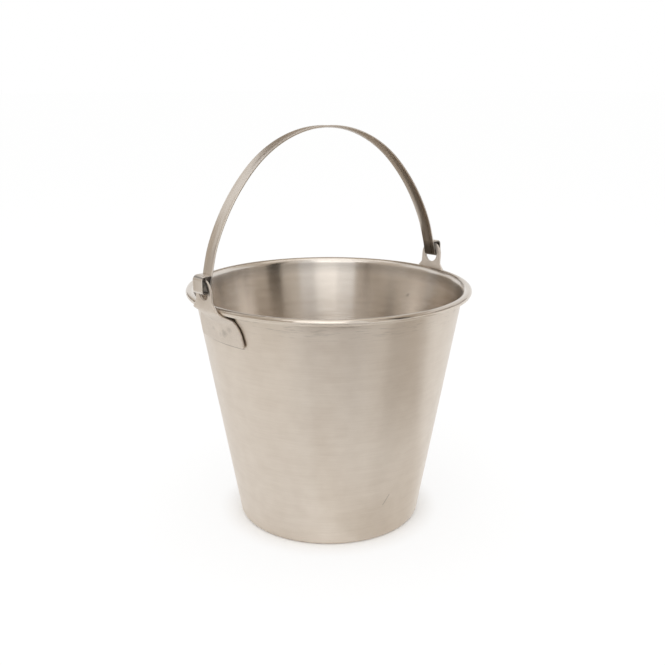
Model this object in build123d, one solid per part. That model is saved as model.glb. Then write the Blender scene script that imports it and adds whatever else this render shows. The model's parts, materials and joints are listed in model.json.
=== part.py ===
"""Stainless steel pail with welded ears and a strip bail.

Frame: millimetres, +Z up, origin at the middle of the base on the surface that the pail stands on.
X runs along the bail's hinge, from the left ear at -X to the right ear at +X.
"""
import os
from math import acos, atan, cos, degrees, radians, sin, sqrt, tan

from build123d import *

# Pail: one sheet, drawn to a tapered wall with a rolled rim
RIM_OUTER_RADIUS = 155.0
PAIL_HEIGHT = 262.0
BASE_RADIUS = 101.3
WALL_SLOPE = 0.1726
SHEET = 0.8
BASE_CORNER_RADIUS = 5.0
RIM_CURL_RADIUS = 2.9
RIM_CURL_TURN = 215.0
PANEL_RADIUS = 80.0
PANEL_RISE = 3.0
PANEL_STEP_RADIUS = 6.0

# Ears: pressed plates, welded to the wall below the rim and standing up outside it
EAR_PLATE = 2.0
EAR_RIM_GAP = 0.6
EAR_WALL_GAP = 0.3
EAR_BOTTOM = 222.3
EAR_HALF_ANGLE = 18.0
EAR_SADDLE_TOP = 244.0
EAR_BULGE = ((248.5, 0.2), (253.0, 0.62))
EAR_TURN_UP = 256.0
EAR_TAB_START = 259.0
TAB_LEAN = 4.0
EAR_SIDE_HALF_WIDTH = 38.0
EAR_SIDE_LEAN = 5.3
EAR_SIDE_RUN = 11.7
EAR_CORNER_RADIUS = 3.0
SHOULDER_RADIUS = 23.4
SHOULDER_TURN = 36.4
NECK_FILLET_RADIUS = 4.0
TAB_HALF_WIDTH = 14.7
EAR_HOLE_RADIUS = 8.75
HINGE_HEIGHT = 276.4

# Spot welds: a row under each ear, with the press marks that they leave on it
WELD_HEIGHT = 234.0
WELD_SPACING = 17.5
WELD_RADIUS = 3.0
DIMPLE_RADIUS = 3.6
DIMPLE_DEPTH = 0.3

# Bail: a strip bent to an arch, pressed to a shallow gutter, flat at its rolled eyes
STRIP_WIDTH = 16.5
STRIP = 1.6
GUTTER_RADIUS = 32.0
CROWN_HEIGHT = 429.4
CROWN_RADIUS = 138.2
CROWN_HALF_ANGLE = 44.5
SIDE_RADIUS = 205.0
GUTTER_END_HEIGHT = 320.0
HALF_GUTTER_HEIGHT = 308.0
FLAT_END_HEIGHT = 296.0
EYE_DROP = 0.4
EYE_BEND_RADIUS = 2.4
EYE_OUTER_BEND_RADIUS = 2.0
EYE_REACH = 164.0
EYE_CEILING = 15.4
EYE_CURL_RADIUS = 5.0
EYE_TIP_GAP = 0.5
BAIL_LEAN = 2.4

# Worked out from the driving dimensions
TAPER = degrees(atan(WALL_SLOPE))
CROWN_CENTRE_Z = CROWN_HEIGHT - CROWN_RADIUS
SIDE_OFFSET = SIDE_RADIUS - CROWN_RADIUS
SIDE_CENTRE_X = -SIDE_OFFSET * sin(radians(CROWN_HALF_ANGLE))
SIDE_CENTRE_Z = CROWN_CENTRE_Z - SIDE_OFFSET * cos(radians(CROWN_HALF_ANGLE))


def wall_radius(height):
    """Outer radius of the tapered wall at a height."""
    return BASE_RADIUS + WALL_SLOPE * height


def turn_path(start, heading, steps):
    """Edges of a flat path from a start point and a heading in degrees.

    A step is ("run", length) or ("turn", radius, degrees), with left turns positive.
    """
    edges = []
    point = Vector(*start)
    for step in steps:
        if step[0] == "run":
            end = point + Vector(step[1], 0).rotate(Axis.Z, heading)
            edges.append(Line(point, end))
        else:
            radius, turn = step[1], step[2]
            side = 1 if turn > 0 else -1
            spoke = Vector(0, -side * radius).rotate(Axis.Z, heading)
            centre = point - spoke
            middle = centre + spoke.rotate(Axis.Z, turn / 2)
            end = centre + spoke.rotate(Axis.Z, turn)
            edges.append(ThreePointArc(point, middle, end))
            heading += turn
        point = end
    return edges


def pail_body():
    """Sheet of constant thickness turned about the pail's axis."""
    half = SHEET / 2
    lean_cos, lean_sin = cos(radians(TAPER)), sin(radians(TAPER))
    upright = 90 - TAPER
    # the base's middle is pressed up a little, so that the pail stands on a ring
    step_turn = degrees(acos(1 - PANEL_RISE / (2 * PANEL_STEP_RADIUS)))
    step_width = 2 * PANEL_STEP_RADIUS * sin(radians(step_turn))
    # the corner arc is tangent to the base ring and to the wall
    corner = BASE_CORNER_RADIUS - half
    corner_centre = wall_radius(BASE_CORNER_RADIUS) - BASE_CORNER_RADIUS / lean_cos
    corner_end = BASE_CORNER_RADIUS - corner * lean_sin
    ring = corner_centre - PANEL_RADIUS - step_width
    # the rim turns out over a wide flare, then down and under on a smaller curl
    crest = PAIL_HEIGHT - half
    wall_middle_at_crest = wall_radius(crest) - half / lean_cos
    flare_span = RIM_OUTER_RADIUS - half - RIM_CURL_RADIUS - wall_middle_at_crest
    flare = flare_span / (lean_cos - WALL_SLOPE * (1 - lean_sin))
    flare_start = crest - flare * (1 - lean_sin)
    path = turn_path(
        (0, PANEL_RISE + half),
        0,
        [
            ("run", PANEL_RADIUS),
            ("turn", PANEL_STEP_RADIUS, -step_turn),
            ("turn", PANEL_STEP_RADIUS, step_turn),
            ("run", ring),
            ("turn", corner, upright),
            ("run", (flare_start - corner_end) / lean_cos),
            ("turn", flare, -upright),
            ("turn", RIM_CURL_RADIUS, -RIM_CURL_TURN),
        ],
    )
    return revolve(Plane.XZ * trace(path, SHEET), Axis.Z)


def bowed_slice(height, middle, side, thickness):
    """Level slice of the ear's sheet, an arc bowed out from its sides to its middle.

    middle and side are the inner face's distances from the pail's axis.
    """
    rows = []
    for reach in (0, thickness):
        corner = Vector(side + reach, 0)
        rows.append(
            [
                corner.rotate(Axis.Z, -EAR_HALF_ANGLE),
                Vector(middle + reach, 0),
                corner.rotate(Axis.Z, EAR_HALF_ANGLE),
            ]
        )
    inner, outer = rows
    edges = [
        ThreePointArc(*inner),
        Line(inner[2], outer[2]),
        ThreePointArc(*reversed(outer)),
        Line(outer[0], inner[0]),
    ]
    return Plane.XY.offset(height) * make_face(edges)


def tab_inner(height):
    """Distance from the pail's axis of the leaning tab's inner face."""
    return RIM_OUTER_RADIUS + EAR_RIM_GAP + (height - EAR_TAB_START) * tan(radians(TAB_LEAN))


def flat_slice(height):
    """Level slice of the ear's flat tab."""
    cut = EAR_PLATE / cos(radians(TAB_LEAN))
    width = 2 * RIM_OUTER_RADIUS * tan(radians(EAR_HALF_ANGLE))
    return Pos(tab_inner(height) + cut / 2, 0, height) * Rectangle(cut, width)


def ear_sheet():
    """Sheet that hugs the wall low down, bows out past the rim and runs up flat above it."""
    start = EAR_BOTTOM - EAR_PLATE
    finish = HINGE_HEIGHT + 2 * TAB_HALF_WIDTH
    saddle_inner = wall_radius(EAR_SADDLE_TOP) + EAR_WALL_GAP
    bulge = tab_inner(EAR_TAB_START) - saddle_inner
    slant = degrees(atan(bulge / (EAR_TAB_START - EAR_SADDLE_TOP)))
    upright_cut = EAR_PLATE / cos(radians(TAPER))
    slanted_cut = EAR_PLATE / cos(radians(slant))

    def hugging(height):
        inner = wall_radius(height) + EAR_WALL_GAP
        return bowed_slice(height, inner, inner, upright_cut)

    saddle = hugging(EAR_SADDLE_TOP)
    neck = [
        bowed_slice(height, saddle_inner + share * bulge, wall_radius(height) + EAR_WALL_GAP, slanted_cut)
        for height, share in EAR_BULGE
    ]
    turn_up = bowed_slice(EAR_TURN_UP, RIM_OUTER_RADIUS, RIM_OUTER_RADIUS, EAR_PLATE)
    tab = flat_slice(EAR_TAB_START)
    lower = loft([hugging(start), saddle])
    middle = loft([saddle, *neck, turn_up, tab])
    upper = loft([tab, flat_slice(finish)])
    return lower + middle + upper


def ear_outline():
    """Front view of the ear: a bell with round shoulders and a round-topped tab."""
    corner_turn = 90 + EAR_SIDE_LEAN
    setback = EAR_CORNER_RADIUS * tan(radians(corner_turn / 2))
    skirt = turn_path(
        (0, EAR_BOTTOM),
        0,
        [
            ("run", EAR_SIDE_HALF_WIDTH - setback),
            ("turn", EAR_CORNER_RADIUS, corner_turn),
            ("run", EAR_SIDE_RUN - setback),
            ("turn", SHOULDER_RADIUS, SHOULDER_TURN),
        ],
    )
    shoulder = skirt[-1] @ 1
    # the shoulder runs up to the tab at a slope and turns into the tab's side
    slope = 90 - EAR_SIDE_LEAN - SHOULDER_TURN
    fillet_width = NECK_FILLET_RADIUS * (1 - sin(radians(slope)))
    neck_run = (shoulder.X - TAB_HALF_WIDTH - fillet_width) / cos(radians(slope))
    neck = turn_path(
        (shoulder.X, shoulder.Y),
        180 - slope,
        [("run", neck_run), ("turn", NECK_FILLET_RADIUS, slope - 90)],
    )
    tab_foot = neck[-1] @ 1
    tab = turn_path(
        (tab_foot.X, tab_foot.Y),
        90,
        [("run", HINGE_HEIGHT - tab_foot.Y), ("turn", TAB_HALF_WIDTH, 90)],
    )
    half = make_face([*skirt, *neck, *tab, Line(tab[-1] @ 1, (0, EAR_BOTTOM))])
    return half + mirror(half, Plane.YZ)


def weld_places():
    """Angle about the pail's axis of each spot weld under one ear."""
    step = degrees(WELD_SPACING / wall_radius(WELD_HEIGHT))
    return [-step, 0, step]


def weld_post(angle, radius):
    """Round post through wall and ear, square to the wall, at a weld's place."""
    post = Cylinder(radius, 8 * EAR_PLATE, rotation=(0, 90 - TAPER, 0))
    return Rotation(0, 0, angle) * Pos(wall_radius(WELD_HEIGHT), 0, WELD_HEIGHT) * post


def right_ear():
    """Ear on the +X side, with its hole and the press marks of the welds."""
    front = Plane.YZ * ear_outline()
    ear = ear_sheet() & extrude(front, 2 * RIM_OUTER_RADIUS)
    hole = Cylinder(EAR_HOLE_RADIUS, 8 * EAR_PLATE, rotation=(0, 90, 0))
    ear -= Pos(tab_inner(HINGE_HEIGHT), 0, HINGE_HEIGHT) * hole
    ball_radius = (DIMPLE_RADIUS**2 + DIMPLE_DEPTH**2) / (2 * DIMPLE_DEPTH)
    stand_off = EAR_WALL_GAP * cos(radians(TAPER)) + EAR_PLATE - DIMPLE_DEPTH + ball_radius
    weld = Pos(wall_radius(WELD_HEIGHT), 0, WELD_HEIGHT) * Rotation(0, TAPER, 0)
    ball = weld * Pos(stand_off, 0, 0) * Sphere(ball_radius)
    for angle in weld_places():
        ear -= Rotation(0, 0, angle) * ball
    return ear


def right_welds():
    """Nuggets that fill the gap between the wall and the ear at each spot weld."""
    low = WELD_HEIGHT - 2 * WELD_RADIUS
    high = WELD_HEIGHT + 2 * WELD_RADIUS
    section = make_face(
        Polyline(
            (wall_radius(low), low),
            (wall_radius(low) + EAR_WALL_GAP, low),
            (wall_radius(high) + EAR_WALL_GAP, high),
            (wall_radius(high), high),
            close=True,
        )
    )
    gap = revolve(Plane.XZ * section, Axis.Z)
    return [(gap & weld_post(angle, WELD_RADIUS)).solid() for angle in weld_places()]


def side_angle(height):
    """Angle from upright of the bail's side arc at a height."""
    return degrees(acos((height - SIDE_CENTRE_Z) / SIDE_RADIUS))


def side_plane(angle):
    """Plane square to the right side arc: x across the strip, y outwards from the arch."""
    out = Vector(sin(radians(angle)), 0, cos(radians(angle)))
    origin = Vector(SIDE_CENTRE_X, 0, SIDE_CENTRE_Z) + out * SIDE_RADIUS
    across = Vector(0, 1, 0)
    return Plane(origin, x_dir=across, z_dir=across.cross(out))


def gutter(radius):
    """Section of the strip pressed to a gutter that opens outwards."""
    spread = STRIP_WIDTH / 2 / radius
    rows = []
    for reach in (radius + STRIP / 2, radius - STRIP / 2):
        across, up = reach * sin(spread), radius - reach * cos(spread)
        rows.append([(-across, up), (0, radius - reach), (across, up)])
    under, over = rows
    edges = [
        ThreePointArc(*under),
        Line(under[2], over[2]),
        ThreePointArc(*reversed(over)),
        Line(over[0], under[0]),
    ]
    return make_face(edges)


def bail_foot():
    """Flat end of the strip on the +X side, rolled to an eye through the ear's hole."""
    start_angle = side_angle(FLAT_END_HEIGHT)
    run_height = HINGE_HEIGHT - EYE_DROP
    bend_height = run_height + EYE_BEND_RADIUS
    # the bend's circle touches the side arc from outside
    bend_offset = sqrt((SIDE_RADIUS + EYE_BEND_RADIUS) ** 2 - (bend_height - SIDE_CENTRE_Z) ** 2)
    bend_x = SIDE_CENTRE_X + bend_offset
    end_angle = degrees(acos((bend_height - SIDE_CENTRE_Z) / (SIDE_RADIUS + EYE_BEND_RADIUS)))
    top = HINGE_HEIGHT + EYE_CEILING + STRIP / 2
    leg_x = SIDE_CENTRE_X + sqrt(SIDE_RADIUS**2 - (top - SIDE_CENTRE_Z) ** 2)
    tip_run = EYE_REACH - EYE_CURL_RADIUS - leg_x - STRIP / 2 - EYE_TIP_GAP
    start = side_plane(start_angle).origin
    path = turn_path(
        (start.X, start.Z),
        -start_angle,
        [
            ("turn", SIDE_RADIUS, start_angle - end_angle),
            ("turn", EYE_BEND_RADIUS, end_angle),
            ("run", EYE_REACH - EYE_OUTER_BEND_RADIUS - bend_x),
            ("turn", EYE_OUTER_BEND_RADIUS, 90),
            ("run", top - EYE_CURL_RADIUS - run_height - EYE_OUTER_BEND_RADIUS),
            ("turn", EYE_CURL_RADIUS, 90),
            ("run", tip_run),
        ],
    )
    return extrude(Plane.XZ * trace(path, STRIP), STRIP_WIDTH / 2, both=True)


def bail_handle():
    """Arch of gutter section between two flat feet, all from one strip, leaning a little to +Y."""
    end_angle = side_angle(GUTTER_END_HEIGHT)
    end_plane = side_plane(end_angle)
    start = (-end_plane.origin.X, end_plane.origin.Z)
    side_turn = end_angle - CROWN_HALF_ANGLE
    arch = turn_path(
        start,
        end_angle,
        [
            ("turn", SIDE_RADIUS, -side_turn),
            ("turn", CROWN_RADIUS, -2 * CROWN_HALF_ANGLE),
            ("turn", SIDE_RADIUS, -side_turn),
        ],
    )
    path = Plane.XZ * (Curve() + arch)
    section = mirror(end_plane * gutter(GUTTER_RADIUS), Plane.YZ)
    half_plane = side_plane(side_angle(HALF_GUTTER_HEIGHT))
    flat_plane = side_plane(side_angle(FLAT_END_HEIGHT))
    neck = loft(
        [
            end_plane * gutter(GUTTER_RADIUS),
            half_plane * gutter(2 * GUTTER_RADIUS),
            flat_plane * Rectangle(STRIP_WIDTH, STRIP),
        ]
    )
    end = neck + bail_foot()
    upright = sweep(section, path) + end + mirror(end, Plane.YZ)
    hinge = Axis((0, 0, HINGE_HEIGHT), (1, 0, 0))
    return upright.rotate(hinge, -BAIL_LEAN)


def report(name, shape):
    """One line on a finished piece."""
    box = shape.bounding_box()
    print(name, len(shape.solids()), "solids", round(shape.volume), "mm3, from", box.min, "to", box.max)


def main():
    ear = right_ear()
    welds = Compound(right_welds())
    pieces = {
        "pail_body": pail_body(),
        "right_ear": ear,
        "left_ear": Rotation(0, 0, 180) * ear,
        "right_ear_welds": welds,
        "left_ear_welds": Rotation(0, 0, 180) * welds,
        "bail_handle": bail_handle(),
    }
    os.makedirs("parts", exist_ok=True)
    for name, shape in pieces.items():
        report(name, shape)
        export_step(shape, f"parts/{name}.step")


main()
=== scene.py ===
# %% [markdown]
# # A stainless steel pail
# The real pail is four pieces that show, a drawn shell, two pressed ears and one bent strip, the bail, and
# small spot welds that hold the ears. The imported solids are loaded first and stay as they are. They give
# the sizes and the places, and each piece here is modelled at its own place in the same frame, so nothing
# is fitted afterwards.

# %% Load the frame
import json
from math import acos, atan, atan2, ceil, cos, degrees, hypot, pi, radians, sin, sqrt, tan

import bmesh
import bpy
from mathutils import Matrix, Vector


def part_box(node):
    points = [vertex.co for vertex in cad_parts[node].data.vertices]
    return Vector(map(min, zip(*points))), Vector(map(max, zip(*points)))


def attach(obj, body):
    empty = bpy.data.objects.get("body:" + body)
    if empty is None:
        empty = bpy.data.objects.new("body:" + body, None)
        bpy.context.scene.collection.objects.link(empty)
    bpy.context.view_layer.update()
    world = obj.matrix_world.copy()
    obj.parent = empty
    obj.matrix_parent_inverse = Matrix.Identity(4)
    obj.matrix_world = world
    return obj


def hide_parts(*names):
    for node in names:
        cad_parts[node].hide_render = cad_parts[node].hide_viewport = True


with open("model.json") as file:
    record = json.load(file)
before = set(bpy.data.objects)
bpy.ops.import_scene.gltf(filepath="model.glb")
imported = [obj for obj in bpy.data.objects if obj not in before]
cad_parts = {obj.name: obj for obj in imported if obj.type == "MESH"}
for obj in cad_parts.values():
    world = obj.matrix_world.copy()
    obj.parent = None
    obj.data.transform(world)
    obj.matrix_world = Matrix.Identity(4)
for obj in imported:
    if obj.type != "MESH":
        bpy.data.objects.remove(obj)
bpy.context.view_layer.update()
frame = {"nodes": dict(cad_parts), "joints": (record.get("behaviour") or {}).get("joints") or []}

bpy.ops.object.select_all(action="DESELECT")

# %% [markdown]
# ## Sizes
# A pail is drawn about one axis, so a few radii and heights fix most of it. What the solids already say is
# read from them: the rim's radius, the height and the hinge. The rest are the sizes that a sheet metal
# worker would mark out, in millimetres times MM, because Blender counts in metres.

# %% Sizes that the pieces share
MM = 0.001
RIM_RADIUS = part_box("pail_body")[1].x
PAIL_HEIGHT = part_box("pail_body")[1].z
HINGE = Vector(frame["joints"][0]["pos_m"])
BASE_RADIUS = 101.3 * MM
WALL_SLOPE = 0.1726
TAPER = degrees(atan(WALL_SLOPE))


def wall_radius(height):
    """Outer radius of the tapered wall at a height."""
    return BASE_RADIUS + WALL_SLOPE * height


print(f"rim {2 * RIM_RADIUS / MM:.0f} mm across, {PAIL_HEIGHT / MM:.0f} mm high")
print(f"hinge at {HINGE.z / MM:.1f} mm, wall {TAPER:.1f} degrees from upright")

# %% [markdown]
# ## A pen for sheet metal
# Sheet metal is straight runs and round bends. An outline could be a typed list of points, but runs and
# bends are easier to read and to change. So a plane is merged to one point, and from there an extrude makes
# each run and a spin makes each bend. The same pen draws a line from a point, or a whole strip from an
# edge, because both operators take what is selected.

# %% The pen
BEND_FACET = 6.0
FEWEST_FACETS = 4


def new_point(name, place):
    """A new object at the origin whose mesh is one point, left in edit mode."""
    bpy.ops.object.select_all(action="DESELECT")
    bpy.ops.mesh.primitive_plane_add(size=MM)
    piece = bpy.context.object
    piece.name = name
    piece.data.name = name
    bpy.ops.object.mode_set(mode="EDIT")
    bpy.ops.mesh.select_mode(type="VERT")
    bpy.ops.mesh.merge(type="CENTER")
    bpy.ops.transform.translate(value=place)
    return piece


class Pen:
    """Draws in an upright plane that holds one level direction. A facet is in degrees of a bend."""

    def __init__(self, level, along, height, facet=BEND_FACET):
        self.level = Vector(level)
        self.axis = Vector((0, 0, 1)).cross(self.level)
        self.along, self.height, self.facet = along, height, facet
        self.heading = 0.0

    def run(self, length):
        """A straight run ahead."""
        lean = radians(self.heading)
        ahead, up = length * cos(lean), length * sin(lean)
        move = self.level * ahead + Vector((0, 0, up))
        bpy.ops.mesh.extrude_region_move(TRANSFORM_OT_translate={"value": move})
        self.along += ahead
        self.height += up

    def turn(self, radius, angle):
        """A bend, to the left for a positive angle."""
        lean = radians(self.heading)
        side = radius if angle > 0 else -radius
        middle = (self.along - side * sin(lean), self.height + side * cos(lean))
        centre = self.level * middle[0] + Vector((0, 0, middle[1]))
        steps = max(FEWEST_FACETS, ceil(abs(angle) / self.facet))
        bpy.ops.mesh.spin(steps=steps, angle=radians(angle), center=centre, axis=self.axis)
        self.heading += angle
        lean = radians(self.heading)
        self.along = middle[0] + side * sin(lean)
        self.height = middle[1] - side * cos(lean)


print("pen ready, with a facet for each", BEND_FACET, "degrees of a bend")

# %% [markdown]
# ## The shell
# The shell is one disc, drawn into a tapered wall with a soft base corner and a rolled rim, and its base is
# pressed up a little so that the pail stands on a ring. It could be a cone with its ends shaped, but a
# profile spun about the axis gives the same even surface as the press, rim and all. The profile is the
# middle of the sheet, so half of the thickness goes to each side.

# %% Draw the shell's profile
SHEET = 0.8 * MM
BASE_CORNER_RADIUS = 5.0 * MM
RIM_CURL_RADIUS = 2.9 * MM
RIM_CURL_TURN = 215
PANEL_RADIUS = 80.0 * MM
PANEL_RISE = 3.0 * MM
PANEL_STEP_RADIUS = 6.0 * MM

half = SHEET / 2
upright = 90 - TAPER
lean_cos, lean_sin = cos(radians(TAPER)), sin(radians(TAPER))
step_turn = degrees(acos(1 - PANEL_RISE / (2 * PANEL_STEP_RADIUS)))
step_width = 2 * PANEL_STEP_RADIUS * sin(radians(step_turn))
corner_radius = BASE_CORNER_RADIUS - half
corner_centre = wall_radius(BASE_CORNER_RADIUS) - BASE_CORNER_RADIUS / lean_cos
corner_top = BASE_CORNER_RADIUS - corner_radius * lean_sin
crest = PAIL_HEIGHT - half
flare_span = RIM_RADIUS - half - RIM_CURL_RADIUS - (wall_radius(crest) - half / lean_cos)
flare = flare_span / (lean_cos - WALL_SLOPE * (1 - lean_sin))
flare_start = crest - flare * (1 - lean_sin)

shell = new_point("pail_shell", (0, 0, PANEL_RISE + half))
pen = Pen((1, 0, 0), 0, PANEL_RISE + half)
pen.run(PANEL_RADIUS)
pen.turn(PANEL_STEP_RADIUS, -step_turn)
pen.turn(PANEL_STEP_RADIUS, step_turn)
pen.run(corner_centre - PANEL_RADIUS - step_width)
pen.turn(corner_radius, upright)
pen.run((flare_start - corner_top) / lean_cos)
pen.turn(flare, -upright)
pen.turn(RIM_CURL_RADIUS, -RIM_CURL_TURN)
print(f"profile ends {pen.along / MM:.1f} mm out and {pen.height / MM:.1f} mm up")

# %% [markdown]
# A whole turn of the spin brings the last profile back onto the first, so the doubled points are joined.
# The normals are turned one way before the Solidify modifier, which gives the sheet its one thickness
# everywhere. Drawing both sides of the sheet would do the same with twice the strokes.

# %% Spin the profile and give it its thickness
SHELL_SIDES = 256
SMOOTH_ANGLE = radians(40)
DOUBLED = 0.002 * MM


def apply_modifier(piece, kind, **settings):
    """Adds a modifier with its settings and applies it."""
    modifier = piece.modifiers.new(kind.lower(), kind)
    for name, value in settings.items():
        setattr(modifier, name, value)
    bpy.ops.object.modifier_apply(modifier=modifier.name)


def close_up():
    """In edit mode, joins doubled points and turns the faces one way."""
    bpy.ops.mesh.select_all(action="SELECT")
    bpy.ops.mesh.remove_doubles(threshold=DOUBLED)
    bpy.ops.mesh.normals_make_consistent(inside=False)


def triangles(piece):
    """How many triangles a piece has."""
    return sum(len(face.vertices) - 2 for face in piece.data.polygons)


bpy.ops.mesh.select_all(action="SELECT")
bpy.ops.mesh.spin(steps=SHELL_SIDES, angle=2 * pi, center=(0, 0, 0), axis=(0, 0, 1))
close_up()
bpy.ops.object.mode_set(mode="OBJECT")
apply_modifier(shell, "SOLIDIFY", thickness=SHEET, offset=0, use_even_offset=True)
bpy.ops.object.shade_smooth_by_angle(angle=SMOOTH_ANGLE)
print("shell:", triangles(shell), "triangles, box", [list(corner) for corner in shell.bound_box][::6])

# %% [markdown]
# ## The ears
# Each ear is cut from 2 mm plate as a bell shape with a hole, then pressed: its skirt to the wall's cone,
# its tab out past the rim and up. It could be drawn in its bent form, but a maker cuts it flat and so does
# this. The flat bell gets its hole and its rounded edges while they are easy to find.

# %% Cut the flat bell
EAR_PLATE = 2.0 * MM
EAR_BOTTOM = 222.3 * MM
EAR_HALF_WIDTH = 38.4 * MM
EAR_SIDE_LEAN = 5.3
EAR_SIDE_RUN = 11.7 * MM
EAR_CORNER_RADIUS = 3.0 * MM
SHOULDER_RADIUS = 23.4 * MM
SHOULDER_TURN = 36.4
NECK_FILLET_RADIUS = 4.0 * MM
TAB_HALF_WIDTH = 14.7 * MM

corner_turn = 90 + EAR_SIDE_LEAN
setback = EAR_CORNER_RADIUS * tan(radians(corner_turn / 2))
neck_slope = 90 - EAR_SIDE_LEAN - SHOULDER_TURN
fillet_width = NECK_FILLET_RADIUS * (1 - sin(radians(neck_slope)))

ear = new_point("right_ear_plate", (0, 0, EAR_BOTTOM))
pen = Pen((0, 1, 0), 0, EAR_BOTTOM)
pen.run(EAR_HALF_WIDTH - setback)
pen.turn(EAR_CORNER_RADIUS, corner_turn)
pen.run(EAR_SIDE_RUN - setback)
pen.turn(SHOULDER_RADIUS, SHOULDER_TURN)
neck_run = (pen.along - TAB_HALF_WIDTH - fillet_width) / cos(radians(neck_slope))
pen.run(neck_run)
pen.turn(NECK_FILLET_RADIUS, neck_slope - 90)
tab_run = HINGE.z - pen.height
pen.run(tab_run)
pen.turn(TAB_HALF_WIDTH, 180)
pen.run(tab_run)
pen.turn(NECK_FILLET_RADIUS, neck_slope - 90)
pen.run(neck_run)
pen.turn(SHOULDER_RADIUS, SHOULDER_TURN)
pen.run(EAR_SIDE_RUN - setback)
pen.turn(EAR_CORNER_RADIUS, corner_turn)
pen.run(EAR_HALF_WIDTH - setback)
close_up()
bpy.ops.mesh.select_all(action="SELECT")
bpy.ops.mesh.edge_face_add()
bpy.ops.mesh.extrude_region_move(TRANSFORM_OT_translate={"value": (EAR_PLATE, 0, 0)})
close_up()
bpy.ops.object.mode_set(mode="OBJECT")
print("bell outline closes at", round(pen.along / MM, 3), round(pen.height / MM, 3))

# %% [markdown]
# The hole is where the bail's eye turns. It could be part of the outline, but a Boolean modifier bores it
# as a drill would, with a cylinder that is then removed. A punched and tumbled plate has no sharp edge
# left, so all sharp edges are found by their angle and bevelled together.

# %% Bore the hole and round the edges
EAR_HOLE_RADIUS = 8.75 * MM
HOLE_SIDES = 72
DRILL_LENGTH = 8 * EAR_PLATE
EAR_EDGE = 0.45 * MM
EDGE_SEGMENTS = 3
SHARP_ANGLE = radians(60)

bpy.ops.object.select_all(action="DESELECT")
bpy.ops.mesh.primitive_cylinder_add(
    vertices=HOLE_SIDES, radius=EAR_HOLE_RADIUS, depth=DRILL_LENGTH,
    location=(0, 0, HINGE.z), rotation=(0, pi / 2, 0))
drill = bpy.context.object
bpy.ops.object.select_all(action="DESELECT")
bpy.context.view_layer.objects.active = ear
ear.select_set(True)
apply_modifier(ear, "BOOLEAN", operation="DIFFERENCE", object=drill)
bpy.data.objects.remove(drill)
bpy.ops.object.mode_set(mode="EDIT")
bpy.ops.mesh.select_mode(type="EDGE")
bpy.ops.mesh.select_all(action="DESELECT")
bpy.ops.mesh.edges_select_sharp(sharpness=SHARP_ANGLE)
bpy.ops.mesh.bevel(offset=EAR_EDGE, segments=EDGE_SEGMENTS, affect="EDGES", clamp_overlap=False)
print("flat ear:", len(bmesh.from_edit_mesh(ear.data).faces), "faces")

# %% [markdown]
# A mesh bends only where it has points, and the skirt's flat faces have none inside. Subdivide would make
# cells of uneven size here, so bisect cuts the plate into level rows, and the skirt into columns as well.
# The tab stays flat, so it needs no columns.

# %% Cut the skirt into cells
CELL = 1.2 * MM
TAB_START = 259.0 * MM


def select_faces(piece, test):
    """In edit mode, selects the faces that pass a test."""
    bpy.ops.mesh.select_all(action="DESELECT")
    mesh = bmesh.from_edit_mesh(piece.data)
    for face in mesh.faces:
        face.select_set(bool(test(face)))
    mesh.select_flush_mode()
    bmesh.update_edit_mesh(piece.data)


bpy.ops.mesh.select_mode(type="FACE")
for row in range(1, ceil((TAB_START - EAR_BOTTOM) / CELL) + 2):
    bpy.ops.mesh.select_all(action="SELECT")
    bpy.ops.mesh.bisect(plane_co=(0, 0, EAR_BOTTOM + row * CELL), plane_no=(0, 0, 1))
skirt_top = EAR_BOTTOM + row * CELL
columns = int(EAR_HALF_WIDTH / CELL)
for column in range(-columns, columns + 1):
    select_faces(ear, lambda face: face.calc_center_median().z < skirt_top)
    bpy.ops.mesh.bisect(plane_co=(0, column * CELL, 0), plane_no=(0, 1, 0))
bpy.ops.object.mode_set(mode="OBJECT")
print("cells:", len(ear.data.polygons))

# %% [markdown]
# The press pushes every point of the plate along X, and how far it goes depends on its place: to the wall
# on the skirt, out past the rim on the tab, with a small dent at each spot weld. One Displace modifier does
# that, with each point's way kept as its vertex weight. A lattice could bend the plate too, but it wouldn't
# follow the cone exactly.

# %% Press it to the wall and past the rim
WALL_GAP = 0.3 * MM
RIM_GAP = 0.6 * MM
SADDLE_TOP = 244.0 * MM
BULGE_REACH = 23.0 * MM
SIDE_START = 16.0 * MM
SIDE_GAP = 1.2 * MM
TAB_LEAN = 4
WELD_HEIGHT = 234.0 * MM
WELD_SPACING = 17.5 * MM
DIMPLE_RADIUS = 4.2 * MM
DIMPLE_DEPTH = 0.35 * MM
SLOPE_STEP = 0.05 * MM


def smooth(low, high, value):
    """Soft step from 0 at low to 1 at high."""
    share = min(1, max(0, (value - low) / (high - low)))
    return share * share * (3 - 2 * share)


def ear_face(y, z):
    """How far out the pressed ear's inner face is."""
    wall = sqrt((wall_radius(z) + WALL_GAP) ** 2 - y * y)
    # the plate springs back a little from the wall at its sides
    wall += SIDE_GAP * max(0, (abs(y) - SIDE_START) / (EAR_HALF_WIDTH - SIDE_START)) ** 2
    tab = RIM_RADIUS + RIM_GAP + (z - TAB_START) * tan(radians(TAB_LEAN))
    rise = min(1, max(0, (z - SADDLE_TOP) / (TAB_START - SADDLE_TOP)))
    bow = max(0, 1 - (1 - rise) * (y / BULGE_REACH) ** 2)
    share = smooth(0, 1, rise) * bow
    return wall + share * (tab - wall)


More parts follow.
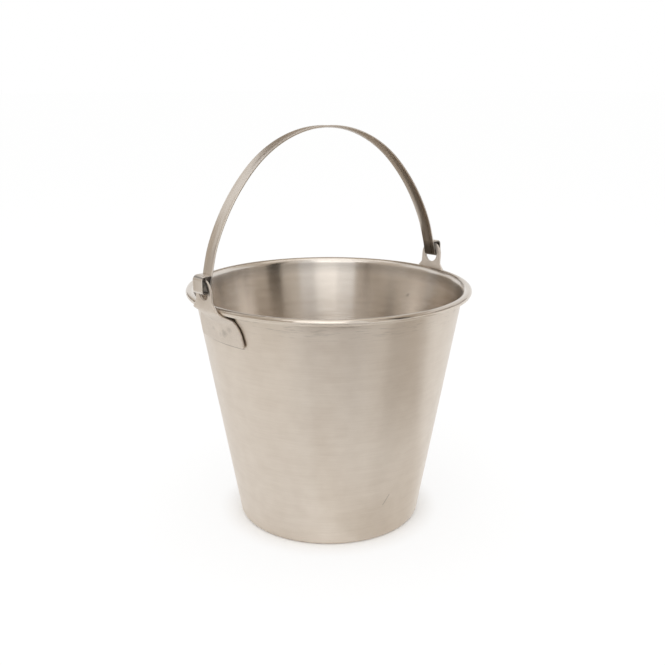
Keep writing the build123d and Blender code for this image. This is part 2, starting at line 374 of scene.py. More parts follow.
def press_depth(place):
    """How far a point of the flat plate moves along X."""
    face = ear_face(place.y, place.z)
    slope = hypot(
        (ear_face(place.y, place.z + SLOPE_STEP) - face) / SLOPE_STEP,
        (ear_face(place.y + SLOPE_STEP, place.z) - face) / SLOPE_STEP,
    )
    # a slanted plate reaches further along X, so that it keeps its thickness
    depth = face + place.x * (hypot(1, slope) - 1)
    for weld in (-WELD_SPACING, 0, WELD_SPACING):
        away = hypot(place.y - weld, place.z - WELD_HEIGHT) / DIMPLE_RADIUS
        if place.x > EAR_PLATE / 2 and away < 1:
            depth -= DIMPLE_DEPTH * (1 - away**2) ** 2
    return depth


depths = [press_depth(vertex.co) for vertex in ear.data.vertices]
nearest, farthest = min(depths), max(depths)
press = ear.vertex_groups.new(name="press")
for number, depth in enumerate(depths):
    press.add([number], (depth - nearest) / (farthest - nearest), "REPLACE")
apply_modifier(
    ear, "DISPLACE", direction="X", mid_level=0, strength=farthest - nearest, vertex_group="press")
ear.vertex_groups.clear()
bpy.ops.object.mode_set(mode="EDIT")
bpy.ops.mesh.select_all(action="SELECT")
bpy.ops.transform.translate(value=(nearest, 0, 0))
bpy.ops.object.mode_set(mode="OBJECT")
bpy.ops.object.shade_smooth_by_angle(angle=SMOOTH_ANGLE)
print("right ear:", triangles(ear), "triangles, pressed", round((farthest - nearest) / MM, 1), "mm deep")

# %% [markdown]
# The other ear is the same pressing on the far side. It could be mirrored, but both ears come from one
# tool. So it is a copy with a mesh of its own, turned half round about the pail's axis in edit mode, and
# its object stays at the origin, unturned.

# %% Copy the ear to the other side
bpy.ops.object.duplicate(linked=False)
left_ear = bpy.context.object
left_ear.name = "left_ear_plate"
left_ear.data.name = left_ear.name
bpy.ops.object.mode_set(mode="EDIT")
bpy.ops.mesh.select_all(action="SELECT")
bpy.ops.transform.rotate(value=pi, orient_axis="Z", center_override=(0, 0, 0))
bpy.ops.object.mode_set(mode="OBJECT")
print("left ear reaches", round(min(v.co.x for v in left_ear.data.vertices) / MM, 2), "mm")

# %% [markdown]
# ## The bail
# The bail is one strip, bent to an arch, with each flat end rolled into an eye that passes out through the
# ear's hole and turns up and back. A curve with a bevel could give the arch, but not the flat eyes. So a
# short edge across the strip, cut into cells, is carried along the arch by the same pen, one half only.

# %% Bend half of the strip
STRIP_WIDTH = 16.5 * MM
STRIP = 1.6 * MM
STRIP_CELLS = 10
CROWN_HEIGHT = 429.4 * MM
CROWN_RADIUS = 138.2 * MM
CROWN_HALF_ANGLE = 44.5
SIDE_RADIUS = 205.0 * MM
EYE_DROP = 0.4 * MM
EYE_BEND_RADIUS = 2.4 * MM
EYE_OUTER_BEND_RADIUS = 2.0 * MM
EYE_REACH = 164.0 * MM
EYE_CEILING = 15.4 * MM
EYE_CURL_RADIUS = 5.0 * MM
EYE_TIP_GAP = 0.5 * MM
ARCH_FACET = 1.5
EYE_FACET = 7.5

side_offset = SIDE_RADIUS - CROWN_RADIUS
side_x = -side_offset * sin(radians(CROWN_HALF_ANGLE))
side_z = CROWN_HEIGHT - CROWN_RADIUS - side_offset * cos(radians(CROWN_HALF_ANGLE))
run_height = HINGE.z - EYE_DROP
bend_height = run_height + EYE_BEND_RADIUS
bend_reach = SIDE_RADIUS + EYE_BEND_RADIUS
bend_x = side_x + sqrt(bend_reach**2 - (bend_height - side_z) ** 2)
bend_angle = degrees(acos((bend_height - side_z) / bend_reach))
eye_top = HINGE.z + EYE_CEILING + STRIP / 2
leg_x = side_x + sqrt(SIDE_RADIUS**2 - (eye_top - side_z) ** 2)

bail = new_point("bail_strip", (0, -STRIP_WIDTH / 2, CROWN_HEIGHT))
bpy.ops.mesh.extrude_region_move(TRANSFORM_OT_translate={"value": (0, STRIP_WIDTH, 0)})
bpy.ops.mesh.select_all(action="SELECT")
bpy.ops.mesh.subdivide(number_cuts=STRIP_CELLS - 1)
pen = Pen((1, 0, 0), 0, CROWN_HEIGHT, ARCH_FACET)
pen.turn(CROWN_RADIUS, -CROWN_HALF_ANGLE)
pen.turn(SIDE_RADIUS, CROWN_HALF_ANGLE - bend_angle)
pen.facet = EYE_FACET
pen.turn(EYE_BEND_RADIUS, bend_angle)
pen.run(EYE_REACH - EYE_OUTER_BEND_RADIUS - bend_x)
pen.turn(EYE_OUTER_BEND_RADIUS, 90)
pen.run(eye_top - EYE_CURL_RADIUS - run_height - EYE_OUTER_BEND_RADIUS)
pen.turn(EYE_CURL_RADIUS, 90)
pen.run(EYE_REACH - EYE_CURL_RADIUS - leg_x - STRIP / 2 - EYE_TIP_GAP)
print(f"strip ends {pen.along / MM:.1f} mm out and {pen.height / MM:.1f} mm up")

# %% [markdown]
# The arch is pressed to a shallow gutter, which stiffens it and is kind to the hand, and it fades out above
# the eyes. The half is mirrored first. Then the gutter is pressed by weights as the ears were, this time
# along the normals, and Solidify and Bevel give the strip its thickness and its rounded edges.

# %% Mirror the strip, press the gutter and give it its thickness
GUTTER_RADIUS = 32.0 * MM
GUTTER_END = 320.0 * MM
FLAT_END = 296.0 * MM
STRIP_EDGE = 0.4 * MM
MIRROR_MERGE = 0.01 * MM
NEAR_CROWN = 0.99 * CROWN_HEIGHT

bpy.ops.object.mode_set(mode="OBJECT")
apply_modifier(
    bail, "MIRROR", use_axis=(True, False, False), use_mirror_merge=True, merge_threshold=MIRROR_MERGE)
bpy.ops.object.mode_set(mode="EDIT")
close_up()
strip_faces = bmesh.from_edit_mesh(bail.data).faces
crown_faces = [face for face in strip_faces if face.calc_center_median().z > NEAR_CROWN]
if crown_faces[0].normal.z < 0:
    bpy.ops.mesh.flip_normals()
bpy.ops.object.mode_set(mode="OBJECT")
gutter = bail.vertex_groups.new(name="gutter")
for vertex in bail.data.vertices:
    deep = smooth(FLAT_END, GUTTER_END, vertex.co.z)
    gutter.add([vertex.index], deep * (2 * vertex.co.y / STRIP_WIDTH) ** 2, "REPLACE")
gutter_depth = GUTTER_RADIUS - sqrt(GUTTER_RADIUS**2 - (STRIP_WIDTH / 2) ** 2)
apply_modifier(bail, "DISPLACE", mid_level=0, strength=gutter_depth, vertex_group="gutter")
bail.vertex_groups.clear()
apply_modifier(bail, "SOLIDIFY", thickness=STRIP, offset=0, use_even_offset=True)
apply_modifier(
    bail, "BEVEL", width=STRIP_EDGE, segments=EDGE_SEGMENTS, limit_method="ANGLE",
    angle_limit=SHARP_ANGLE, use_clamp_overlap=False)
print(f"gutter {gutter_depth / MM:.2f} mm deep")

# %% [markdown]
# The bail was left leaning a little, as a loose one stands. The lean is given to the mesh, about the hinge,
# because a finished object stays unturned. With no window open, rotate needs its centre spelled out.

# %% Lean the bail about its hinge
BAIL_LEAN = 2.4

bpy.ops.object.mode_set(mode="EDIT")
bpy.ops.mesh.select_all(action="SELECT")
bpy.ops.transform.rotate(value=radians(BAIL_LEAN), orient_axis="X", center_override=HINGE)
bpy.ops.object.mode_set(mode="OBJECT")
bpy.ops.object.shade_smooth_by_angle(angle=SMOOTH_ANGLE)
crown = max(bail.data.vertices, key=lambda vertex: vertex.co.z).co
print("bail:", triangles(bail), "triangles, crown at", [round(part / MM, 1) for part in crown])

# %% [markdown]
# ## Put the pieces on their bodies
# The shell and the ears ride on the pail, and the strip rides on the bail, which swings. Each piece stands
# for its solid, which is then hidden. The spot welds stay as they are, between ear and wall, where a
# remodelled nugget would look no better.

# %% Ride and replace
for piece, body, node, finish in (
    (shell, "pail", "pail_body", "shell"),
    (ear, "pail", "right_ear", "ear"),
    (left_ear, "pail", "left_ear", "ear"),
    (bail, "bail", "bail_handle", "bail"),
):
    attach(piece, body)
    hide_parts(node)
    print(piece.name, "rides on", body)

# %% [markdown]
# ## Finishes
# Stainless sheet is a bare metal, so its whole look is in what it reflects: a warm grey tint, how sharp the
# reflection is, and fine lines left by turning or by the strip mill. Pictures could be laid on it, but they
# would need unwrapping and show seams. So each finish is one metal shader, with its colour, roughness and
# bump from noise on the object's own coordinates. Small helpers keep the node trees short.

# %% Helpers that make and link nodes
def new_finish(name):
    """A new material with its node tree and its shader, ready for links."""
    material = bpy.data.materials.new(name)
    material.use_nodes = True
    return material, material.node_tree, material.node_tree.nodes["Principled BSDF"]


def new_metal(name):
    """A new finish for bare metal."""
    material, tree, shader = new_finish(name)
    shader.inputs["Metallic"].default_value = 1
    return material, tree, shader


def add(tree, kind, links=None, **settings):
    """A new node with its settings, and its inputs linked to other sockets or set to numbers."""
    node = tree.nodes.new(kind)
    for name, value in settings.items():
        setattr(node, name, value)
    for name, source in (links or {}).items():
        if isinstance(source, bpy.types.NodeSocket):
            tree.links.new(source, node.inputs[name])
        else:
            node.inputs[name].default_value = source
    return node


def maths(tree, operation, first, second=0):
    """Result of one sum on two values or numbers."""
    return add(tree, "ShaderNodeMath", {0: first, 1: second}, operation=operation).outputs[0]


def vectors(tree, operation, first, second=(0, 0, 0)):
    """Result of one sum on two vectors, a number for a length, distance or dot product."""
    node = add(tree, "ShaderNodeVectorMath", {0: first, 1: second}, operation=operation)
    is_number = operation in ("LENGTH", "DISTANCE", "DOT_PRODUCT")
    return node.outputs["Value" if is_number else "Vector"]


def scaled(tree, vector, factor):
    """A vector or colour times a number."""
    return add(tree, "ShaderNodeVectorMath", {0: vector, "Scale": factor}, operation="SCALE").outputs[0]


def dress(tree, shader, colour, rough, normal):
    """Links what varies over the surface to the shader."""
    for name, socket in (("Base Color", colour), ("Roughness", rough), ("Normal", normal)):
        tree.links.new(socket, shader.inputs[name])


print("node helpers ready")

# %% [markdown]
# The patterns are made of a few simple parts: the place of a point, noise there, a value spread from one
# range to another, and a soft band of heights. Lines round the wall are noise on coordinates that change
# slowly round the axis and fast up the wall.

# %% Helpers that make patterns
TWO_NOISES = (0.7, 1.3)    # what a sum of two noises mostly spans
FOUR_NOISES = (1.5, 2.5)    # and a sum of four


def object_place(tree):
    """Place of a point in the object's own coordinates."""
    return add(tree, "ShaderNodeTexCoord").outputs["Object"]


def coordinate(tree, place, axis):
    """One of a place's three coordinates."""
    return add(tree, "ShaderNodeSeparateXYZ", {0: place}).outputs[axis]


def turned_place(tree, slow, fast):
    """Coordinates for lines round the axis: slow round it, fast up the wall and out along the base."""
    place = object_place(tree)
    level = vectors(tree, "MULTIPLY", place, (1, 1, 0))
    round_axis = scaled(tree, vectors(tree, "NORMALIZE", level), slow)
    up = maths(tree, "ADD", coordinate(tree, place, "Z"), vectors(tree, "LENGTH", level))
    lift = add(tree, "ShaderNodeCombineXYZ", {"Z": maths(tree, "MULTIPLY", up, fast)}).outputs[0]
    return vectors(tree, "ADD", round_axis, lift)


def noise(tree, place, scale=1.0, detail=2.0, rough=0.5):
    """Value of a noise at a place."""
    settings = {"Vector": place, "Scale": scale, "Detail": detail, "Roughness": rough}
    return add(tree, "ShaderNodeTexNoise", settings).outputs["Fac"]


def spread(tree, value, low, high, to_low, to_high):
    """Maps a value from one range to another, and clamps it."""
    settings = {"Value": value, "From Min": low, "From Max": high, "To Min": to_low, "To Max": to_high}
    return add(tree, "ShaderNodeMapRange", settings).outputs["Result"]


def band(tree, value, start, full, fade, end, share):
    """A share where a length is inside a band with soft edges, which are given in millimetres."""
    rise = spread(tree, value, start * MM, full * MM, 0, share)
    return maths(tree, "MULTIPLY", rise, spread(tree, value, fade * MM, end * MM, 1, 0))


def tint(tree, share, dark, light):
    """Colour between two, which are colours or sockets, at a share from 0 to 1."""
    ends = [end if isinstance(end, bpy.types.NodeSocket) else (*end, 1) for end in (dark, light)]
    settings = {"Factor": share, 6: ends[0], 7: ends[1]}
    return add(tree, "ShaderNodeMix", settings, data_type="RGBA").outputs[2]


def darkened(tree, colour, share):
    """A colour times 1 less a share."""
    return scaled(tree, colour, maths(tree, "SUBTRACT", 1, share))


def bump(tree, value, depth):
    """Normal of a surface that a value raises by a depth."""
    return add(tree, "ShaderNodeBump", {"Height": value, "Distance": depth, "Strength": 1}).outputs[0]


def near_mark(tree, place, start, end, width, share):
    """Share of a mark along a line: full on the line, and gone at a width from it."""
    line = Vector(end) - Vector(start)
    from_start = vectors(tree, "SUBTRACT", place, start)
    along = vectors(tree, "DOT_PRODUCT", from_start, line / line.length_squared)
    nearest = scaled(tree, line, spread(tree, along, 0, 1, 0, 1))
    return spread(tree, vectors(tree, "DISTANCE", from_start, nearest), 0, width, share, 0)


print("pattern helpers ready")

# %% [markdown]
# ### The shell's outside
# The wall was finished on a lathe, so fine lines run round it, and handling left soft clouds, rub marks
# under the rim and one scratch low on the front. The shader stretches its reflections across the lines,
# which gives a turned wall its upright bands. Plain roughness would blur them both ways and look painted.
# The rolled rim is burnished by its tool, so it mirrors more sharply than the wall, and its top is darkened
# with painted shade. Shade is painted in the crevice under each ear as well.

# %% Satin outside
STRETCH = 0.9
ACROSS_LINES = 0.25    # a quarter turn
FINE_ROUND = 6
BROAD_ROUND = 2.5
WALL_PITCHES = (1400, 160)
WALL_TONES = ((0.69, 0.61, 0.525), (0.775, 0.7, 0.615))
WALL_ROUGHNESS = (0.37, 0.43)
WALL_LINE_DEPTH = 0.012 * MM
RUB_STROKES = (9, 420)
RUB_RANGE = (0.55, 0.7)
RUB_BAND = (232, 250, 254, 257)
RUB_SHARE = 0.2
# painted shade along the crevice under each ear
CREVICE_HEIGHTS = (EAR_BOTTOM - 2.2 * MM, EAR_BOTTOM - 1.2 * MM)
CREVICE_TOP = EAR_BOTTOM + 1 * MM
CREVICE_SIDES = (33 * MM, 37 * MM)
CREVICE_SHADE = 0.5
SCRATCH = ((-0.0137, -0.1079, 0.0425), (-0.0071, -0.1103, 0.0535))
SCRATCH_WIDTH = 0.8 * MM
SCRATCH_SHARE = 0.38
BURNISH_HEIGHTS = (257.5 * MM, 259.3 * MM)
BURNISH = 0.5
# painted shade on the rim's top
RIM_SHADE_HEIGHTS = (258 * MM, 260 * MM)
RIM_SHADE = 0.2


def turned_metal(name):
    """A new metal finish that stretches reflections across lines round the axis."""
    material, tree, shader = new_metal(name)
    shader.inputs["Anisotropic"].default_value = STRETCH
    shader.inputs["Anisotropic Rotation"].default_value = ACROSS_LINES
    tangent = add(tree, "ShaderNodeTangent", direction_type="RADIAL", axis="Z").outputs[0]
    tree.links.new(tangent, shader.inputs["Tangent"])
    return material, tree, shader


def turned_lines(tree, fine_pitch, broad_pitch):
    """Fine lines round the axis, and these with broader ones added."""
    fine = noise(tree, turned_place(tree, FINE_ROUND, fine_pitch))
    broad = noise(tree, turned_place(tree, BROAD_ROUND, broad_pitch), detail=3)
    return fine, maths(tree, "ADD", fine, broad)


def wall_marks_and_shade(tree, place):
    """How much each place of the wall is darkened by rubbing and the scratch, and by painted shade."""
    height = coordinate(tree, place, "Z")
    strokes = spread(tree, noise(tree, turned_place(tree, *RUB_STROKES)), *RUB_RANGE, 0, 1)
    rubs_and_shade = maths(tree, "MULTIPLY", strokes, band(tree, height, *RUB_BAND, RUB_SHARE))
    # a line of painted shade in the crevice under each ear
    across = maths(tree, "ABSOLUTE", coordinate(tree, place, "Y"))
    crevice_shade = spread(tree, height, *CREVICE_HEIGHTS, 0, CREVICE_SHADE)
    crevice_shade = maths(tree, "MULTIPLY", crevice_shade, maths(tree, "LESS_THAN", height, CREVICE_TOP))
    crevice_shade = maths(tree, "MULTIPLY", crevice_shade, spread(tree, across, *CREVICE_SIDES, 1, 0))
    # painted shade that darkens the rim's top by a fifth
    rim_shade = spread(tree, height, *RIM_SHADE_HEIGHTS, 0, RIM_SHADE)
    scratch = near_mark(tree, place, *SCRATCH, SCRATCH_WIDTH, SCRATCH_SHARE)
    for mark in (crevice_shade, scratch, rim_shade):
        rubs_and_shade = maths(tree, "MAXIMUM", rubs_and_shade, mark)
    return rubs_and_shade


def satin_wall():
    """Satin sheet with level lines, clouds and the marks of use."""
    material, tree, shader = turned_metal("satin_wall")
    place = object_place(tree)
    fine, lines = turned_lines(tree, *WALL_PITCHES)
    cloud = noise(tree, place, scale=14, detail=3)
    blotch = noise(tree, place, scale=55, detail=3, rough=0.6)
    mixed = maths(tree, "ADD", maths(tree, "ADD", lines, cloud), blotch)
    colour = tint(tree, spread(tree, mixed, *FOUR_NOISES, 0, 1), *WALL_TONES)
    burnish = spread(tree, coordinate(tree, place, "Z"), *BURNISH_HEIGHTS, 1, BURNISH)
    rough = maths(tree, "MULTIPLY", spread(tree, lines, *TWO_NOISES, *WALL_ROUGHNESS), burnish)
    colour = darkened(tree, colour, wall_marks_and_shade(tree, place))
    dress(tree, shader, colour, rough, bump(tree, fine, WALL_LINE_DEPTH))
    return material


outside = satin_wall()
print(outside.name, "has", len(outside.node_tree.nodes), "nodes")

# %% [markdown]
# ### The shell's inside
# The inside was polished, so it mirrors more sharply, and a band of painted shade darkens the neck under
# the rim. There is one small pit in it. It could be a mesh of its own, but the sheet is one piece, so the
# inside is a second material, and a face gets it by where its normal points.

# %% Bright inside
INSIDE_PITCHES = (1100, 120)
INSIDE_TONES = ((0.67, 0.612, 0.553), (0.73, 0.678, 0.62))
INSIDE_ROUGHNESS = (0.21, 0.27)
INSIDE_LINE_DEPTH = 0.003 * MM
# painted shade in the neck under the rolled rim
NECK_SHADE_BAND = (243, 253, 255.5, 258.5)
NECK_SHADE = 0.26
PIT = ((0.1378, 0.0195, 0.2242), (0.1381, 0.0187, 0.2254))
PIT_WIDTH = 1.6 * MM
PIT_SHARE = 0.5
FACING = 0.5


def bright_inside():
    """Polished sheet with level lines, a band of painted shade under the rim and a pit."""
    material, tree, shader = turned_metal("bright_inside")
    place = object_place(tree)
    fine, lines = turned_lines(tree, *INSIDE_PITCHES)
    colour = tint(tree, spread(tree, lines, *TWO_NOISES, 0, 1), *INSIDE_TONES)
    # painted shade in a band under the rim; the pit is a mark in the metal
    neck_shade = band(tree, coordinate(tree, place, "Z"), *NECK_SHADE_BAND, NECK_SHADE)
    neck_shade_and_pit = maths(tree, "MAXIMUM", neck_shade, near_mark(tree, place, *PIT, PIT_WIDTH, PIT_SHARE))
    rough = spread(tree, lines, *TWO_NOISES, *INSIDE_ROUGHNESS)
    dress(tree, shader, darkened(tree, colour, neck_shade_and_pit), rough, bump(tree, fine, INSIDE_LINE_DEPTH))
    return material


shell.data.materials.clear()
shell.data.materials.append(outside)
shell.data.materials.append(bright_inside())
for face in shell.data.polygons:
    out = Vector((face.center.x, face.center.y, 0)).normalized()
    inner_wall = face.normal.dot(out) < -FACING
    inner_base = face.normal.z > FACING and face.center.z < BASE_CORNER_RADIUS
    face.material_index = 1 if inner_wall or inner_base else 0
print("inside faces:", sum(face.material_index for face in shell.data.polygons))

# %% [markdown]
# ### The ears
# The ears were tumbled before they were welded, so they are matte, with a fine grain and soft clouds. The
# spot welder left smudges, the inner face of the tab is rougher and painted paler as painted light, and
# a painted shadow sits behind the bail's eye. Each mark is a distance or a band on the object's
# coordinates. Both ears share the finish, so the sign of X turns the smudges with the plate.

# %% Matte plate
PLATE_TONES = ((0.585, 0.515, 0.443), (0.71, 0.642, 0.566))
# painted light: tones that make the tab's inner face paler
INNER_TAB_PAINTED_LIGHT = ((0.77, 0.715, 0.66), (0.87, 0.82, 0.765))
PLATE_ROUGHNESS = (0.36, 0.52)
INNER_TAB_ROUGHER = 0.25
GRAIN_DEPTH = 0.02 * MM
SMUDGES = (    # each one's place across and up and its size, in millimetres, and its share
    (12, 234, 4, 0.26),
    (-6, 236, 4, 0.2),
    (-5, 247, 3, 0.26),
    (4, 232, 3, 0.16),
    (22, 240, 4, 0.18),
)
RAGGED = 2.5 * MM
RAGGED_RANGE = (0.3, 0.7)
TAB_OUTER = (158.0 * MM, 158.5 * MM)
# painted shadow behind the bail's eye, on the tab's outer face
TAB_SHADOW_HEIGHTS = (273 * MM, 276 * MM)
TAB_SHADOW_EDGE = (12.5 * MM, 13.8 * MM)
TAB_SHADOW_SHARE = 0.6
INNER_DEPTHS = (0.8 * MM, 1.2 * MM)
TAB_FADE = 2 * MM


def plate_marks_and_shadow(tree, place, cloud):
    """How much each place of an ear is darkened by the welder's smudges and by painted shadow."""
    side = maths(tree, "SIGN", coordinate(tree, place, "X"))
    across = maths(tree, "MULTIPLY", coordinate(tree, place, "Y"), side)
    height = coordinate(tree, place, "Z")
    front = add(tree, "ShaderNodeCombineXYZ", {"Y": across, "Z": height}).outputs[0]
    edge = spread(tree, cloud, *RAGGED_RANGE, -RAGGED, RAGGED)
    dark = 0
    for y, z, size, share in SMUDGES:
        away = vectors(tree, "DISTANCE", front, (0, y * MM, z * MM))
        smudge = spread(tree, maths(tree, "ADD", away, edge), 0, size * MM, share, 0)
        dark = maths(tree, "ADD", dark, smudge)
    # painted shadow on the tab's outer face, in a round patch behind the upper half of the eye
    outer = spread(tree, maths(tree, "ABSOLUTE", coordinate(tree, place, "X")), *TAB_OUTER, 0, 1)
    upper = spread(tree, height, *TAB_SHADOW_HEIGHTS, 0, 1)
    from_hinge = vectors(tree, "DISTANCE", front, (0, 0, HINGE.z))
    patch = spread(tree, from_hinge, *TAB_SHADOW_EDGE, TAB_SHADOW_SHARE, 0)
    tab_shadow = maths(tree, "MULTIPLY", maths(tree, "MULTIPLY", outer, upper), patch)
    return maths(tree, "MAXIMUM", dark, tab_shadow)


def inner_tab(tree, place):
    """1 on the inner face of the leaning tab, else 0."""
    height = coordinate(tree, place, "Z")
    above = maths(tree, "SUBTRACT", height, TAB_START)
    lean = maths(tree, "MULTIPLY", above, tan(radians(TAB_LEAN)))
    reach = maths(tree, "SUBTRACT", maths(tree, "ABSOLUTE", coordinate(tree, place, "X")), lean)
    depth = maths(tree, "SUBTRACT", reach, RIM_RADIUS + RIM_GAP)
    tab = spread(tree, height, TAB_START - TAB_FADE, TAB_START, 0, 1)
    return maths(tree, "MULTIPLY", spread(tree, depth, *INNER_DEPTHS, 1, 0), tab)


def matte_plate():
    """Tumbled plate with grain, clouds, weld marks, a painted shadow and painted light on the tab."""
    material, tree, shader = new_metal("matte_plate")
    place = object_place(tree)
    cloud = noise(tree, place, scale=60, detail=4)
    mixed = maths(tree, "ADD", noise(tree, place, scale=900), cloud)
    shade = spread(tree, mixed, *TWO_NOISES, 0, 1)
    inner = inner_tab(tree, place)
    # painted light makes the tab's inner face paler
    colour = tint(tree, inner, tint(tree, shade, *PLATE_TONES), tint(tree, shade, *INNER_TAB_PAINTED_LIGHT))
    colour = darkened(tree, colour, plate_marks_and_shadow(tree, place, cloud))
    rougher = maths(tree, "MULTIPLY", inner, INNER_TAB_ROUGHER)
    rough = maths(tree, "ADD", spread(tree, mixed, *TWO_NOISES, *PLATE_ROUGHNESS), rougher)
    dress(tree, shader, colour, rough, bump(tree, mixed, GRAIN_DEPTH))
    return material


plate_finish = matte_plate()
for piece in (ear, left_ear):
    piece.data.materials.clear()
    piece.data.materials.append(plate_finish)
print("ears:", plate_finish.name)

# %% [markdown]
# ### The bail
# The strip came from the mill with lines along it, and it is smoother than the ears. A noise that is
# squeezed across the strip gives such lines, and a Mapping node turns it with the bail's lean, so that the
# lines follow the edges. Shade is painted inside the rolled eyes.

# %% Satin strip
STRIP_TONES = ((0.6, 0.54, 0.475), (0.7, 0.64, 0.575))
STRIP_ROUGHNESS = (0.26, 0.38)
STRIP_LINE_DEPTH = 0.003 * MM
FINE_SQUEEZE = (6, 500, 6)
BROAD_SQUEEZE = (9, 160, 9)
# painted shade inside the rolled eyes
EYE_SHADE_BAND = (151, 153, 163.5, 164)
EYE_SHADE_HEIGHTS = (292 * MM, 292.6 * MM)
EYE_SHADE_SHARE = 0.6


def satin_strip():
    """Milled strip with lines along it, and painted shade in its eyes."""
    material, tree, shader = new_metal("satin_strip")
    place = object_place(tree)
    turn = (radians(BAIL_LEAN), 0, 0)
    along, wide = [
        add(tree, "ShaderNodeMapping", {"Vector": place, "Rotation": turn, "Scale": squeeze}).outputs[0]
        for squeeze in (FINE_SQUEEZE, BROAD_SQUEEZE)
    ]
    fine = noise(tree, along)
    lines = maths(tree, "ADD", fine, noise(tree, wide, detail=3))
    # painted shade inside the rolled eye, low down
    inner = band(tree, maths(tree, "ABSOLUTE", coordinate(tree, place, "X")), *EYE_SHADE_BAND, 1)
    low = spread(tree, coordinate(tree, place, "Z"), *EYE_SHADE_HEIGHTS, EYE_SHADE_SHARE, 0)
    colour = tint(tree, spread(tree, lines, *TWO_NOISES, 0, 1), *STRIP_TONES)
    colour = darkened(tree, colour, maths(tree, "MULTIPLY", inner, low))
    rough = spread(tree, lines, *TWO_NOISES, *STRIP_ROUGHNESS)
    dress(tree, shader, colour, rough, bump(tree, fine, STRIP_LINE_DEPTH))
    return material


bail.data.materials.clear()
bail.data.materials.append(satin_strip())
print("bail:", bail.data.materials[0].name)

# %% [markdown]
# ### The spot welds
# The nuggets between ear and wall are metal that was melted and never cleaned, so they are dull and
# scaly. They keep the shape of their solids, and a new material goes into the slots that these have.

# %% Dull weld metal
WELD_TONES = ((0.34, 0.29, 0.25), (0.54, 0.49, 0.43))
WELD_ROUGHNESS = (0.45, 0.65)
SCALE_DEPTH = 0.04 * MM
ONE_NOISE = (0.35, 0.65)


def weld_metal():
    """Scaly metal of a spot weld."""
    material, tree, shader = new_metal("weld_metal")
    burn = noise(tree, object_place(tree), scale=500, detail=3)
    colour = tint(tree, spread(tree, burn, *ONE_NOISE, 0, 1), *WELD_TONES)
    rough = spread(tree, burn, *ONE_NOISE, *WELD_ROUGHNESS)
    dress(tree, shader, colour, rough, bump(tree, burn, SCALE_DEPTH))
    return material


weld_finish = weld_metal()
for name in ("left_ear_welds", "right_ear_welds"):
    for slot in frame["nodes"][name].material_slots:
        slot.material = weld_finish
print("welds:", weld_finish.name)

# %% [markdown]
# ## The studio
# The pail stands on a plain white table in front of white. A lit floor alone would look grey, so where it
# is seen directly or in a mirror it also glows, and Light Path tells these rays from the others. Close to
# the pail the glow fades out, so the soft shadow stays.

# %% Floor and world
FLOOR_SIZE = 60.0
FLOOR_GLOW = 0.75
FLOOR_WHITE = (0.98, 0.98, 0.975, 1)
FLOOR_ROUGHNESS = 0.9
SHADOW_WIDTH = 25 * MM
WHITE = (1, 1, 1, 1)


def seen_directly(tree):
    """1 for a ray from the camera or one that mirrors or passes through, else 0."""
    path = add(tree, "ShaderNodeLightPath").outputs
    both = maths(tree, "MAXIMUM", path["Is Camera Ray"], path["Is Glossy Ray"])
    return maths(tree, "MAXIMUM", both, path["Is Transmission Ray"])


def white_floor():
    """White table that glows where it is seen, but not close round the pail."""
    material, tree, shader = new_finish("white_floor")
    shader.inputs["Base Color"].default_value = FLOOR_WHITE
    shader.inputs["Roughness"].default_value = FLOOR_ROUGHNESS
    shader.inputs["Specular IOR Level"].default_value = 0
    glow = add(tree, "ShaderNodeEmission", {"Color": WHITE, "Strength": 1}).outputs[0]
    away = vectors(tree, "LENGTH", object_place(tree))
    open_floor = spread(tree, away, BASE_RADIUS, BASE_RADIUS + SHADOW_WIDTH, 0, FLOOR_GLOW)
    share = maths(tree, "MULTIPLY", seen_directly(tree), open_floor)
    blend = add(tree, "ShaderNodeMixShader", {0: share, 1: shader.outputs[0], 2: glow}).outputs[0]
    tree.links.new(blend, tree.nodes["Material Output"].inputs["Surface"])
    return material


bpy.ops.object.select_all(action="DESELECT")
bpy.ops.mesh.primitive_plane_add(size=FLOOR_SIZE)
floor = bpy.context.object
floor.name = "floor"
floor.data.materials.append(white_floor())

world = bpy.data.worlds.new("studio")
bpy.context.scene.world = world
world.use_nodes = True
background = world.node_tree.nodes["Background"]
background.inputs["Color"].default_value = WHITE
background.inputs["Strength"].default_value = 1
print("floor and world are set")

# %% [markdown]
# The white world already lights everything evenly, so two weak area lamps are enough: one from the left
# front and one from above. Large lamps give soft edges to the shadow, as in a light tent.

# %% Lamps
LAMPS = (
    ("key", (-1.1, -0.9, 1.5), (radians(45), 0, radians(-50)), 1.4, 6),
    ("top", (0.2, 0.2, 1.9), (0, 0, 0), 1.4, 3),
)

for name, place, turn, size, power in LAMPS:
    bpy.ops.object.light_add(type="AREA", location=place, rotation=turn)
    lamp = bpy.context.object
    lamp.name = name
    lamp.data.size = size
    lamp.data.energy = power
print("lamps:", [row[0] for row in LAMPS])

# %% [markdown]
# ## Cards for the metal to mirror
# Metal in a white room looks flat, so photographers stand grey cards round it. Here each card is a plane
# with an even tone that only mirror rays see: not the camera, and no light or shadow comes from it. Upright
# cards give the wall and the inside their upright bands, those on the floor shade the low wall, those
# overhead tone the bail, and one bright card in front makes the light band inside.

# %% How a card is made
VIEW_BEARING = 39.04


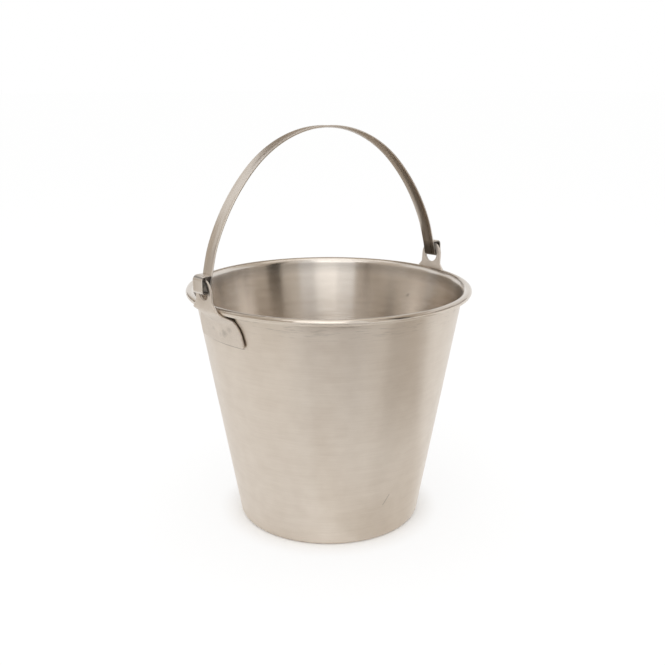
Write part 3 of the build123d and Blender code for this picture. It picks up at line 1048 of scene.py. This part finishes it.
def card(name, bearing, width, foot, head, tone):
    """A card from its foot to its head, each a distance from the axis and a height.

    The bearing is clockwise from the view's own direction, seen from above.
    """
    way = radians(VIEW_BEARING + bearing)
    out, up = (foot[0] + head[0]) / 2, (foot[1] + head[1]) / 2
    lean = atan2(head[1] - foot[1], head[0] - foot[0])
    place = (out * sin(way), out * cos(way), up)
    bpy.ops.object.select_all(action="DESELECT")
    bpy.ops.mesh.primitive_plane_add(size=1, location=place, rotation=(lean, 0, -way))
    panel = bpy.context.object
    panel.name = name
    panel.scale = (width, hypot(head[0] - foot[0], head[1] - foot[1]), 1)
    paint = bpy.data.materials.new(name)
    paint.use_nodes = True
    tree = paint.node_tree
    glow = add(tree, "ShaderNodeEmission", {"Color": (*tone, 1), "Strength": 1}).outputs[0]
    tree.links.new(glow, tree.nodes["Material Output"].inputs["Surface"])
    panel.data.materials.append(paint)
    panel.visible_camera = False
    panel.visible_diffuse = False
    panel.visible_shadow = False


print("cards are placed from the bearing", VIEW_BEARING)

# %% [markdown]
# The tones are warm greys from black to white, as in a room with daylight. A card's place was found by
# following a mirror ray from a band on the metal out into the room.

# %% Cards round the table
BLACK = (0.02, 0.014, 0.008)
DARK = (0.13, 0.09, 0.06)
SHADE = (0.24, 0.195, 0.15)
DIM = (0.4, 0.34, 0.275)
MIDDLE = (0.5, 0.44, 0.37)
PALE = (0.55, 0.49, 0.42)
SOFT = (0.63, 0.57, 0.5)
LIGHT = (0.7, 0.65, 0.58)
FAINT = (0.78, 0.74, 0.69)
BRIGHT = (1.4, 1.4, 1.39)
FLAT = 0.002

card("behind", -6, 0.95, (1.5, 0.9), (1.5, 1.9), DIM)
card("behind_left", -28, 0.62, (1.3, 1.0), (1.3, 2.4), SHADE)
card("behind_floor", -8, 0.4, (0.33, FLAT), (0.9, FLAT), DIM)
card("left_back", -53, 0.88, (1.3, 0.28), (1.3, 0.44), DARK)
card("left_high", -48, 0.55, (1.3, 0.44), (1.3, 0.75), LIGHT)
card("left_side", -86, 0.66, (1.3, 0.28), (1.3, 1.0), PALE)
card("left_floor", -80, 1.1, (1.0, FLAT), (2.0, FLAT), SOFT)
card("left_middle", -112, 0.75, (1.4, 0.38), (1.4, 1.6), SOFT)
card("left_front", -140.5, 0.72, (1.5, 0.38), (1.5, 1.6), MIDDLE)
card("front_floor", 176, 0.62, (0.365, FLAT), (0.95, FLAT), DARK)
card("left_near_floor", -130, 0.5, (0.48, FLAT), (1.0, FLAT), LIGHT)
card("front_light", 177, 0.72, (1.9, 0.4), (1.9, 1.6), BRIGHT)
card("right_near", 141, 0.5, (1.5, 0.38), (1.5, 1.6), LIGHT)
card("right_strip", 124, 0.31, (1.2, 0.33), (1.2, 2.8), BLACK)
card("right_front", 107, 0.5, (1.3, 0.36), (1.3, 1.6), PALE)
card("right_side", 84, 0.66, (1.3, 0.36), (1.3, 0.75), SHADE)
card("right_foot", 137, 0.4, (0.1, FLAT), (0.16, FLAT), FAINT)
card("right_floor", 116, 0.4, (0.3, FLAT), (0.8, FLAT), DIM)
card("right_back", 64, 0.7, (1.3, 0.36), (1.3, 0.55), DARK)
card("over_back", 8, 1.3, (1.5, 1.9), (0.55, 2.7), SOFT)
card("over_right", 60, 1.3, (1.35, 1.6), (0.5, 2.5), SOFT)
card("over_left", -97, 1.0, (1.35, 1.6), (0.5, 2.5), SOFT)
card("over_front", 105, 1.2, (1.35, 1.6), (0.5, 2.5), PALE)
print("cards are set")

# %% [markdown]
# ## The camera
# The photograph's camera stood about a metre away, a little higher than the bail's crown, and its place and
# lens were worked out from the edges of rim, base and bail. Pointing a camera by eye would come close, but
# then nothing in the picture could be measured.

# %% Camera and view
CAMERA_PLACE = (-0.5974, -0.7430, 0.47805)
CAMERA_PITCH = 15.897
CAMERA_LENS = 48.29
SENSOR_WIDTH = 36

camera_turn = (radians(90 - CAMERA_PITCH), 0, -radians(VIEW_BEARING))
bpy.ops.object.camera_add(location=CAMERA_PLACE, rotation=camera_turn)
camera = bpy.context.object
camera.data.lens = CAMERA_LENS
camera.data.sensor_width = SENSOR_WIDTH
bpy.context.scene.camera = camera
bpy.context.scene.view_settings.view_transform = "Standard"
print("camera at", CAMERA_PLACE)
